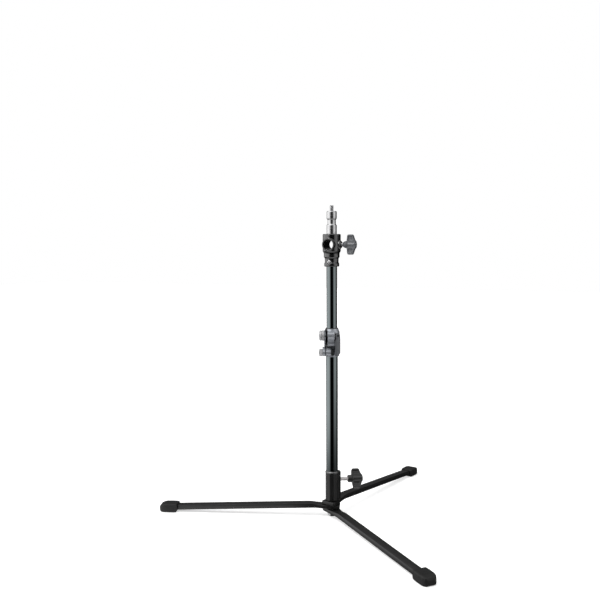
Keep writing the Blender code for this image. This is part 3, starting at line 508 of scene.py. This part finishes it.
# %% Tubes
UPPER_TUBE_R, UPPER_TUBE_WALL = 8.45 * MM, 1.0 * MM
LOWER_TUBE_R, LOWER_TUBE_WALL = 9.5 * MM, 0.75 * MM


def ring_profile(node, outer, inner):
    """A square profile between two radii, as high as the solid."""
    low, high = (corner.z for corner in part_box(node))
    return [(inner, low), (outer, low), (outer, high), (inner, high)]


def tube(node, outer, wall):
    profile = rounded(ring_profile(node, outer, outer - wall), 0.25 * MM, closed=True)
    return dress(moved(turned(node + "_drawn", profile, closed=True), ON_COLUMN), node)


for node, outer, wall in (
    ("upper_tube", UPPER_TUBE_R, UPPER_TUBE_WALL),
    ("lower_tube", LOWER_TUBE_R, LOWER_TUBE_WALL),
):
    print(tube(node, outer, wall).name, round(2 * outer / MM, 1), "mm across")

# %% [markdown]
# The base socket's mouth has a ring of pale grey metal, a painted highlight for the light that the
# mouth's chamfer catches from above. It shows as a pale crescent in front of the tube.

# %% Pale ring at the base socket's mouth, a painted highlight
mouth_top = 74.7 * MM
mouth_profile = [
    (9.7 * MM, mouth_top - 3.2 * MM),
    (10.95 * MM, mouth_top - 3.2 * MM),
    (10.95 * MM, mouth_top - 1.5 * MM),
    (9.8 * MM, mouth_top),
    (9.7 * MM, mouth_top),
]
mouth = turned("base_socket_mouth", rounded(mouth_profile, 0.12 * MM, closed=True), closed=True)
dress(moved(mouth, ON_COLUMN), "base_socket")
# the pale ring is a painted highlight on the socket's mouth
mouth.data.materials[0] = painted_rim_highlight
print(mouth.name, len(mouth.data.polygons), "faces")

# %% [markdown]
# ## The spigot
#
# The spigot is turned from steel bar. Whatever sits on it is held by a clamp screw that bites in
# its groove, so that it can't lift off.

# %% Spigot
SPIGOT_R, SPIGOT_NECK_R, SPIGOT_FOOT_R = 8.0 * MM, 6.5 * MM, 5.0 * MM
SPIGOT_TIP_R, SPIGOT_TIP_PITCH = 3.15 * MM, 1.27 * MM
foot, seat, shoulder, tip_top = 449.0 * MM, 454.6 * MM, 491.0 * MM, 500.0 * MM
spigot_profile = [
    (0, shoulder),
    (SPIGOT_R - 1.0 * MM, shoulder),
    (SPIGOT_R, shoulder - 1.0 * MM),
    (SPIGOT_R, 479.0 * MM),
    (SPIGOT_NECK_R, 477.5 * MM),
    (SPIGOT_NECK_R, 470.5 * MM),
    (SPIGOT_R, 469.0 * MM),
    (SPIGOT_R, seat + 0.5 * MM),
    (SPIGOT_R - 0.5 * MM, seat),
    (SPIGOT_FOOT_R, seat),
    (SPIGOT_FOOT_R, foot),
    (0, foot),
]
spigot = turned("spigot_turned", rounded(spigot_profile, 0.4 * MM))
dress(moved(spigot, ON_COLUMN), "stud")
print(spigot.name, len(spigot.data.polygons), "faces")

# %% [markdown]
# ## Threads
#
# A thread is a helix: the profile of one turn is spun while it climbs by one pitch for each turn.
# The rod starts one turn too low and ends one too high, and both ends are then cut off square,
# chamfered by pushing in every corner that lies outside a cone, and closed.

# %% Helper for threaded rods
THREAD_STEPS = 40
THREAD_DEPTH = 0.6  # of the pitch
THREAD_CREASE_DEG = 40
FLANKS = (0.0, 0.2, 0.52, 0.68, 1.0)  # along one pitch: both ends of root and crest, next root


def threaded_rod(name, radius, pitch, low, high, chamfer):
    root = radius - THREAD_DEPTH * pitch
    turns = math.ceil((high - low) / pitch) + 2
    one_turn = zip((root, root, radius, radius, root), FLANKS)
    bm = bmesh.new()
    corners = [bm.verts.new((r, 0, low + (share - 1) * pitch)) for r, share in one_turn]
    rims = [bm.edges.new(pair) for pair in zip(corners, corners[1:])]
    bmesh.ops.spin(
        bm, geom=corners + rims, cent=(0, 0, 0), axis=(0, 0, 1), dvec=(0, 0, pitch / THREAD_STEPS),
        angle=2 * math.pi * turns, steps=THREAD_STEPS * turns, use_merge=False, use_duplicate=False,
    )
    bmesh.ops.remove_doubles(bm, verts=bm.verts, dist=2 * SAME_CORNER)
    for height, up in ((low, -1), (high, 1)):
        bmesh.ops.bisect_plane(
            bm, geom=bm.verts[:] + bm.edges[:] + bm.faces[:],
            plane_co=(0, 0, height), plane_no=(0, 0, up), clear_outer=True,
        )
    for vert in bm.verts:
        reach = math.hypot(vert.co.x, vert.co.y)
        allowed = radius - chamfer + min(vert.co.z - low, high - vert.co.z)
        if reach > allowed:
            vert.co.x *= allowed / reach
            vert.co.y *= allowed / reach
    rims = [edge for edge in bm.edges if edge.is_boundary]
    bmesh.ops.holes_fill(bm, edges=rims, sides=0)
    bmesh.ops.recalc_face_normals(bm, faces=bm.faces)
    return creased(to_object(bm, name), THREAD_CREASE_DEG)


tip = threaded_rod(
    "spigot_tip", SPIGOT_TIP_R, SPIGOT_TIP_PITCH, shoulder - 0.5 * MM, tip_top, 0.8 * MM
)
dress(moved(tip, ON_COLUMN), "stud")
print(tip.name, len(tip.data.polygons), "faces")

# %% [markdown]
# The two clamp screws are M6, a thread that climbs 1 mm a turn. Each starts at the tube or the
# spigot that it presses on and ends inside its knob. The base screw points along the socket's rib.

# %% Clamp screws
M6_R, M6_PITCH = 3.0 * MM, 1.0 * MM
SOCKET_TURN, BASE_SCREW_HEIGHT = 32.0, 59.8 * MM
CROSS_HEIGHT = 438.3 * MM
base_screw = threaded_rod("base_screw_thread", M6_R, M6_PITCH, 9.8 * MM, 37.7 * MM, 0.9 * MM)
at_rib = beside_column(SOCKET_TURN, z=BASE_SCREW_HEIGHT)
dress(moved(base_screw, at_rib @ ALONG_X), "base_screw")
head_screw = threaded_rod("head_screw_thread", M6_R, M6_PITCH, 8.4 * MM, 31.6 * MM, 0.9 * MM)
dress(moved(head_screw, beside_column(0, z=CROSS_HEIGHT) @ ALONG_X), "head_screw")
print("threads", len(base_screw.data.polygons), "and", len(head_screw.data.polygons), "faces")

# %% [markdown]
# ## Hexagons
#
# Hexagon heads and nuts are six-sided bars whose corners were turned off at 30 degrees. Keeping
# only what lies inside a turned shape does the same here, and gives the curved edges that a real
# nut has.

# %% Helpers for hexagons and recesses
HEXAGON_STEPS = 96
HEXAGON_CREASE_DEG = 28
CORNER_CUT_DEG = 30
SPARE = 1 * MM  # how far a bar reaches past what is cut from it


def combined(piece, other, operation):
    """Keeps or removes what the other shape covers, and drops the other shape."""
    step = piece.modifiers.new(operation.lower(), "BOOLEAN")
    step.operation = operation
    step.solver = "EXACT"
    step.object = other
    bpy.context.view_layer.update()
    applied(piece)
    bpy.data.objects.remove(other)
    return creased(piece, HEXAGON_CREASE_DEG)


def hexagon_bar(name, flats, low, high):
    corner = flats / math.sqrt(3)
    bm = bmesh.new()
    bmesh.ops.create_cone(
        bm, cap_ends=True, cap_tris=False, segments=6, radius1=corner, radius2=corner,
        depth=high - low, matrix=Matrix.Translation((0, 0, (low + high) / 2)),
    )
    return to_object(bm, name)


def hexagon(name, flats, low, high, turned_high=True, bore=0.0):
    """A hexagon whose corners are turned off at both ends, or at the lower one only."""
    reach = flats / math.sqrt(3) + 0.2 * MM
    face = flats / 2 - 0.1 * MM
    rise = (reach - face) * math.tan(math.radians(CORNER_CUT_DEG))
    upper = [(reach, high - rise), (face, high)] if turned_high else [(reach, high)]
    profile = [(bore, low), (face, low), (reach, low + rise), *upper, (bore, high)]
    kept = turned(name + "_kept", profile, closed=bore > 0, steps=HEXAGON_STEPS)
    return combined(hexagon_bar(name, flats, low - SPARE, high + SPARE), kept, "INTERSECT")


print("hexagon helpers ready")

# %% [markdown]
# The hub bolt comes up from below. Its flange bears on the lowest leg, and its shank is hidden in
# the stack.

# %% Hub bolt
HUB_HEAD_FLATS, HUB_FLANGE_R, HUB_SHANK_R = 13.0 * MM, 8.5 * MM, 4.0 * MM
head_low, flange_low, flange_high, hub_top = 0.9 * MM, 5.8 * MM, 7.1 * MM, 34.4 * MM
hub_head = hexagon(
    "hub_bolt_head", HUB_HEAD_FLATS, head_low, flange_low + 0.4 * MM, turned_high=False
)
dress(moved(hub_head, ON_COLUMN), "hub_bolt")
flange_profile = [
    (0, flange_low),
    (6.6 * MM, flange_low),
    (HUB_FLANGE_R, flange_low + 0.6 * MM),
    (HUB_FLANGE_R, flange_high),
    (HUB_SHANK_R, flange_high),
    (HUB_SHANK_R, hub_top - 0.6 * MM),
    (HUB_SHANK_R - 0.6 * MM, hub_top),
    (0, hub_top),
]
hub_flange = turned("hub_bolt_flange", rounded(flange_profile, 0.3 * MM))
dress(moved(hub_flange, ON_COLUMN), "hub_bolt")

# %% [markdown]
# ## The lock's metal pieces
#
# The draw bolt runs through the clamp's ears from a flanged barrel nut at the left to the lever's
# pin at the right. Its eye turns on the pin, and a plate keeps the lever's cam off the soft
# casting. All of them share one axis, which lies 17 mm in front of the column's axis, in directions
# turned by 24 degrees.

# %% Draw bolt, barrel nut and cam plate
LOCK_TURN = 24.0
LOCK_DEPTH, LOCK_HEIGHT = -17.0 * MM, 295.8 * MM
PIN_X = 8.9 * MM
PLATE_X = 3.9 * MM
DRAW_BORE_R = 3.3 * MM
EYE_R, EYE_BORE_R, EYE_HALF_WIDTH = 3.3 * MM, 1.6 * MM, 3.0 * MM


def at_lock(x=0.0):
    return beside_column(LOCK_TURN, x, LOCK_DEPTH, LOCK_HEIGHT)


nut_right = -12.9 * MM
draw_left, draw_right = nut_right - 8.3 * MM, PIN_X - 2.6 * MM
draw_thread = threaded_rod("draw_bolt_thread", M6_R, M6_PITCH, draw_left, draw_right, 0.5 * MM)
dress(moved(draw_thread, at_lock() @ ALONG_X), "lock_bolt")
eye_profile = [
    (EYE_BORE_R, -EYE_HALF_WIDTH),
    (EYE_R, -EYE_HALF_WIDTH),
    (EYE_R, EYE_HALF_WIDTH),
    (EYE_BORE_R, EYE_HALF_WIDTH),
]
eye_profile = rounded(eye_profile, 0.4 * MM, closed=True)
draw_eye = turned("draw_bolt_eye", eye_profile, closed=True, steps=SMALL_STEPS)
dress(moved(draw_eye, at_lock(PIN_X) @ FORWARD), "lock_bolt")

nut_profile = [
    (DRAW_BORE_R, 7.7 * MM),
    (6.2 * MM, 7.7 * MM),
    (8.0 * MM, 6.2 * MM),
    (8.0 * MM, 3.9 * MM),
    (7.0 * MM, 3.7 * MM),
    (7.0 * MM, 3.2 * MM),
    (8.2 * MM, 3.0 * MM),
    (8.2 * MM, 0.0),
    (DRAW_BORE_R, 0.0),
]
barrel_nut = turned("barrel_nut", rounded(nut_profile, 0.45 * MM, closed=True), closed=True)
dress(moved(barrel_nut, at_lock(nut_right) @ TO_THE_LEFT), "lock_nut")

plate_profile = [
    (DRAW_BORE_R, 0),
    (4.4 * MM, 0),
    (4.4 * MM, 0.7 * MM),
    (DRAW_BORE_R, 0.7 * MM),
]
plate_profile = rounded(plate_profile, 0.15 * MM, closed=True)
cam_plate = turned("cam_plate", plate_profile, closed=True, steps=SMALL_STEPS)
dress(moved(cam_plate, at_lock(PLATE_X) @ ALONG_X), "cam_washer")
faces = [len(piece.data.polygons) for piece in (draw_thread, barrel_nut)]
print("draw bolt", faces[0], "faces; nut", faces[1], "faces")

# %% [markdown]
# The lever's pin is a plain rivet with domed ends, held in the lever's two cheeks.

# %% Lever pin
PIN_R = 1.3 * MM
pin_front, pin_back = -4.7 * MM, 5.1 * MM
pin_profile = [(0, pin_front), (PIN_R, pin_front), (PIN_R, pin_back), (0, pin_back)]
lever_pin = turned("lever_pin_domed", rounded(pin_profile, 0.6 * MM), steps=PIN_STEPS)
BACKWARD = FORWARD @ Matrix.Rotation(math.pi, 4, "X")
dress(moved(lever_pin, at_lock(PIN_X) @ BACKWARD), "lever_pin")
print("pin from", pin_front / MM, "to", pin_back / MM, "mm")

# %% [markdown]
# The lower clamp is drawn together by a cap screw with a hexagon socket and a knurled head, and
# a plain hexagon nut. The knurl is pressed in: every third step round the head's side is pushed
# a little inwards.

# %% Cap screw and its nut
PINCH_DEPTH, PINCH_HEIGHT = -16.0 * MM, 268.6 * MM
CAP_R, CAP_HEIGHT, CAP_SHANK_R, CAP_PITCH = 4.2 * MM, 4.4 * MM, 2.5 * MM, 0.8 * MM
KNURLS, KNURL_PRESSED = 32, 0.96
pinch_right, pinch_left = -2.0 * MM, -15.3 * MM
at_pinch = beside_column(LOCK_TURN, 0, PINCH_DEPTH, PINCH_HEIGHT) @ ALONG_X
head_profile = [
    (0, pinch_right + CAP_HEIGHT),
    (CAP_R, pinch_right + CAP_HEIGHT),
    (CAP_R, pinch_right),
    (CAP_SHANK_R, pinch_right),
    (CAP_SHANK_R, pinch_right - 1.5 * MM),
    (0, pinch_right - 1.5 * MM),
]
knurl_steps = KNURLS * 3
cap_head = turned("cap_screw_head", rounded(head_profile, 0.45 * MM), steps=knurl_steps)
for vert in cap_head.data.vertices:
    step = round(math.atan2(vert.co.y, vert.co.x) / (2 * math.pi) * knurl_steps)
    on_side = math.hypot(vert.co.x, vert.co.y) > CAP_R - 0.05 * MM
    if on_side and step % 3 == 0:
        vert.co.x *= KNURL_PRESSED
        vert.co.y *= KNURL_PRESSED
key = hexagon_bar("cap_screw_key", 4.0 * MM, pinch_right + 1.8 * MM, pinch_right + 6 * MM)
dress(moved(combined(cap_head, key, "DIFFERENCE"), at_pinch), "pinch_bolt")
cap_left, cap_right = pinch_left - 5.8 * MM, pinch_right - 1.2 * MM
cap_thread = threaded_rod(
    "cap_screw_thread", CAP_SHANK_R, CAP_PITCH, cap_left, cap_right, 0.5 * MM
)
dress(moved(cap_thread, at_pinch), "pinch_bolt")
clamp_nut = hexagon("clamp_nut", 10.4 * MM, pinch_left - 5.2 * MM, pinch_left, bore=2.8 * MM)
dress(moved(clamp_nut, at_pinch), "pinch_nut")
faces = [len(piece.data.polygons) for piece in (cap_head, clamp_nut)]
print("cap screw", faces[0], "faces; nut", faces[1], "faces")

# %% [markdown]
# ## The head's set screw
#
# A domed screw under the cross socket holds the head on the tube. It is driven with a hexagon key.

# %% Set screw
SET_SCREW_HEIGHT, SET_SCREW_R = 411.0 * MM, 3.2 * MM
dome_profile = [
    (0, 12.6 * MM),
    (1.4 * MM, 12.5 * MM),
    (2.5 * MM, 12.1 * MM),
    (SET_SCREW_R, 11.2 * MM),
    (SET_SCREW_R, 8.75 * MM),
    (0, 8.75 * MM),
]
dome = turned("set_screw_dome", rounded(dome_profile, 0.4 * MM), steps=SMALL_STEPS)
key = hexagon_bar("set_screw_key", 2.5 * MM, 11.2 * MM, 14 * MM)
in_front = beside_column(0, z=SET_SCREW_HEIGHT) @ FORWARD
dress(moved(combined(dome, key, "DIFFERENCE"), in_front), "head_set_screw")
print("set screw", len(dome.data.polygons), "faces")

# %% [markdown]
# ## Plastic liners, plugs and washers
#
# The liner fills the space between the collar and the upper tube and shows as a thin rim on the
# collar's top. A plug in the lower end of the upper tube guides it inside the lower tube, and
# another closes the lower tube's end. Two washers let the legs turn on one another.


# %% Turned plastic pieces
def plastic(node, profile, radius):
    closed = profile[0][0] > 0
    piece = turned(node + "_turned", rounded(profile, radius, closed=closed), closed=closed)
    return dress(moved(piece, ON_COLUMN), node)


liner_profile = ring_profile("lock_bushing", 9.5 * MM, UPPER_TUBE_R + 0.1 * MM)
plastic("lock_bushing", liner_profile, 0.25 * MM)
for node in ("upper_washer", "lower_washer"):
    plastic(node, ring_profile(node, 9.0 * MM, 4.3 * MM), 0.12 * MM)
low, high = (corner.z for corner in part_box("glide_plug"))
glide_profile = [
    (5.65 * MM, high),
    (7.15 * MM, high - 1.0 * MM),
    (7.15 * MM, low + 4.0 * MM),
    (8.68 * MM, low + 4.0 * MM),
    (8.68 * MM, low + 0.8 * MM),
    (7.75 * MM, low),
    (4.65 * MM, low),
    (4.65 * MM, high),
]
plastic("glide_plug", glide_profile, 0.3 * MM)
low, high = (corner.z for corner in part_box("tube_cap"))
cap_profile = [
    (0, high),
    (7.45 * MM, high),
    (8.45 * MM, high - 1.0 * MM),
    (8.45 * MM, low + 2.5 * MM),
    (9.5 * MM, low + 2.5 * MM),
    (9.5 * MM, low + 0.8 * MM),
    (8.7 * MM, low),
    (0, low),
]
plastic("tube_cap", cap_profile, 0.3 * MM)
print("five plastic pieces made")

# %% [markdown]
# ## The picture's floor, background and light
#
# The photograph is a cut-out on white. The floor is plain white, part of it a steady glow that
# only the camera and reflections see, so that it reaches white but still darkens where the stand
# shades it. The real table was lit from the left, and only surfaces close to it mirror its white,
# such as the left leg's side. The tubes, which would mirror it from further away, are black there.
# So a reflected ray that meets the floor elsewhere, or after more than a hand's breadth, passes
# through it and sees the room instead.


# %% Helpers for floor and world
def linked(tree, kind, values, operation=None, output="Value"):
    """A node whose inputs are plain values or other nodes' outputs, in order."""
    node = tree.nodes.new(kind)
    if operation:
        node.operation = operation
    for socket, value in zip(node.inputs, values):
        if isinstance(value, bpy.types.NodeSocket):
            tree.links.new(value, socket)
        else:
            socket.default_value = value
    return node.outputs[output]


def maths(tree, operation, *values):
    return linked(tree, "ShaderNodeMath", values, operation)


def vector_maths(tree, operation, *values, output="Vector"):
    return linked(tree, "ShaderNodeVectorMath", values, operation, output)


def fade(tree, value, nothing, full):
    """Rises smoothly from 0 to 1 while the value goes from one number to the other."""
    spread = tree.nodes.new("ShaderNodeMapRange")
    spread.interpolation_type = "SMOOTHSTEP"
    spread.inputs["From Min"].default_value = nothing
    spread.inputs["From Max"].default_value = full
    tree.links.new(value, spread.inputs["Value"])
    return spread.outputs["Result"]


print("light helpers ready")

# %% Floor
FLOOR_REACH, FLOOR_DROP = 6.0, 0.05 * MM
FLOOR_WHITE, FLOOR_ROUGHNESS = 0.80, 0.9
CAMERA_GLOW, MIRRORED_GLOW = 0.55, 0.60
MIRROR_NEAR, MIRROR_FAR = 0.04, 0.12
LIT_EDGE = (-0.09, -0.04)  # the mirrored white ends here, counted to the right from the column


def white_floor():
    material = bpy.data.materials.new("white_floor")
    material.use_nodes = True
    tree = material.node_tree
    shader = tree.nodes["Principled BSDF"]
    shader.inputs["Base Color"].default_value = (*grey(FLOOR_WHITE), 1)
    shader.inputs["Roughness"].default_value = FLOOR_ROUGHNESS
    shader.inputs["Specular IOR Level"].default_value = 0.0
    path = tree.nodes.new("ShaderNodeLightPath")
    seen = maths(tree, "MULTIPLY", path.outputs["Is Camera Ray"], CAMERA_GLOW)
    mirrored = maths(tree, "MULTIPLY", path.outputs["Is Glossy Ray"], MIRRORED_GLOW)
    glow = tree.nodes.new("ShaderNodeEmission")
    tree.links.new(maths(tree, "ADD", seen, mirrored), glow.inputs["Strength"])
    white = tree.nodes.new("ShaderNodeAddShader")
    tree.links.new(shader.outputs["BSDF"], white.inputs[0])
    tree.links.new(glow.outputs["Emission"], white.inputs[1])
    far = fade(tree, path.outputs["Ray Length"], MIRROR_NEAR, MIRROR_FAR)
    place = tree.nodes.new("ShaderNodeTexCoord")
    from_axis = vector_maths(tree, "SUBTRACT", place.outputs["Object"], column)
    to_the_right = Vector((math.cos(CAMERA_TURN), math.sin(CAMERA_TURN), 0))
    across = vector_maths(tree, "DOT_PRODUCT", from_axis, to_the_right, output="Value")
    beyond = maths(tree, "MAXIMUM", far, fade(tree, across, *LIT_EDGE))
    clear = tree.nodes.new("ShaderNodeBsdfTransparent")
    mixed = tree.nodes.new("ShaderNodeMixShader")
    tree.links.new(maths(tree, "MULTIPLY", beyond, path.outputs["Is Glossy Ray"]), mixed.inputs[0])
    tree.links.new(white.outputs["Shader"], mixed.inputs[1])
    tree.links.new(clear.outputs["BSDF"], mixed.inputs[2])
    tree.links.new(mixed.outputs["Shader"], tree.nodes["Material Output"].inputs["Surface"])
    return material


bm = bmesh.new()
bmesh.ops.create_grid(bm, x_segments=1, y_segments=1, size=FLOOR_REACH)
floor = to_object(bm, "floor")
floor.location = (0, 0, -FLOOR_DROP)
floor.data.materials.append(white_floor())
print("floor made")

# %% [markdown]
# The room is drawn as five windows of light on a dark ground, in directions counted from the
# camera. The round one overhead lights the floor and the tops, and the one below stands for the
# table straight underneath. The two at the sides give each tube its two grey bands, and the dark
# between them, where the camera stands, gives it the black middle. A dim one stands at the back.
# Each side window fades out over a sill of its own below the horizon, so that the bands fade
# towards the feet as they do on the real tubes. The camera itself sees plain white.

# %% Directions in the world
world = bpy.data.worlds.new("studio")
world.use_nodes = True
bpy.context.scene.world = world
tree = world.node_tree
background = tree.nodes["Background"]
background.inputs["Color"].default_value = (1, 1, 1, 1)
direction = tree.nodes.new("ShaderNodeTexCoord").outputs["Generated"]
level_direction = vector_maths(
    tree, "NORMALIZE", vector_maths(tree, "MULTIPLY", direction, (1, 1, 0))
)
split = tree.nodes.new("ShaderNodeSeparateXYZ")
tree.links.new(direction, split.inputs["Vector"])
height = split.outputs["Z"]


def toward(from_camera_deg, elevation_deg):
    """Unit vector at an angle to the right of the camera's side, and above the horizon."""
    around = CAMERA_TURN - math.pi / 2 + math.radians(from_camera_deg)
    lift = math.radians(elevation_deg)
    level = math.cos(lift)
    return Vector((math.cos(around) * level, math.sin(around) * level, math.sin(lift)))


def cosine(degrees):
    return math.cos(math.radians(degrees))


def sine(degrees):
    return math.sin(math.radians(degrees))


print("straight ahead of the camera is", toward(180, 0))

# %% Windows
DARK_ROOM = 0.006
UP, DOWN = toward(0, 90), toward(0, -90)
LINTEL = (62, 40)
below_lintel = fade(tree, height, sine(LINTEL[0]), sine(LINTEL[1]))


def round_window(centre, inner_deg, outer_deg, level):
    """A round patch of light: full inside the inner angle, fading to nothing at the outer one."""
    facing = vector_maths(tree, "DOT_PRODUCT", direction, centre, output="Value")
    across = fade(tree, facing, cosine(outer_deg), cosine(inner_deg))
    return maths(tree, "MULTIPLY", across, level)


def side_window(from_camera_deg, inner_deg, outer_deg, sill, level):
    """An upright patch of light at one side, which fades out over its sill and at the lintel."""
    centre = toward(from_camera_deg, 0)
    facing = vector_maths(tree, "DOT_PRODUCT", level_direction, centre, output="Value")
    across = fade(tree, facing, cosine(outer_deg), cosine(inner_deg))
    above_sill = fade(tree, height, sine(sill[0]), sine(sill[1]))
    upright = maths(tree, "MULTIPLY", above_sill, below_lintel)
    return maths(tree, "MULTIPLY", maths(tree, "MULTIPLY", across, upright), level)


windows = [
    round_window(UP, inner_deg=20, outer_deg=55, level=1.3),
    round_window(DOWN, inner_deg=20, outer_deg=54, level=1.1),
    side_window(-88, inner_deg=24, outer_deg=63, sill=(-32, -10), level=1.72),
    side_window(64, inner_deg=10, outer_deg=42, sill=(-30, -1), level=1.1),
    side_window(-178, inner_deg=12, outer_deg=36, sill=(-28, -4), level=0.10),
]
room = DARK_ROOM
for light in windows:
    room = maths(tree, "ADD", room, light)
path = tree.nodes.new("ShaderNodeLightPath")
seen = tree.nodes.new("ShaderNodeMix")
seen.data_type = "FLOAT"
seen.inputs["B"].default_value = 1.0
tree.links.new(path.outputs["Is Camera Ray"], seen.inputs["Factor"])
tree.links.new(room, seen.inputs["A"])
tree.links.new(seen.outputs["Result"], background.inputs["Strength"])
print("world with", len(windows), "windows")

# %% [markdown]
# One small, strong soft box stands high at the front left. It gives the coated castings their
# bright edges.

# %% Soft box
BOX_SIZE, BOX_WATTS, BOX_DISTANCE = 0.45, 8, 1.5
BOX_FROM_CAMERA_DEG, BOX_ELEVATION_DEG = -45, 50
AIM_HEIGHT = 0.25

light = bpy.data.lights.new("soft_box_front_left", "AREA")
light.size = BOX_SIZE
light.energy = BOX_WATTS
soft_box = bpy.data.objects.new("soft_box_front_left", light)
away = toward(BOX_FROM_CAMERA_DEG, BOX_ELEVATION_DEG)
soft_box.location = column + Vector((0, 0, AIM_HEIGHT)) + away * BOX_DISTANCE
soft_box.rotation_euler = away.to_track_quat("Z", "Y").to_euler()
bpy.context.scene.collection.objects.link(soft_box)
print(soft_box.name, light.energy, "W")
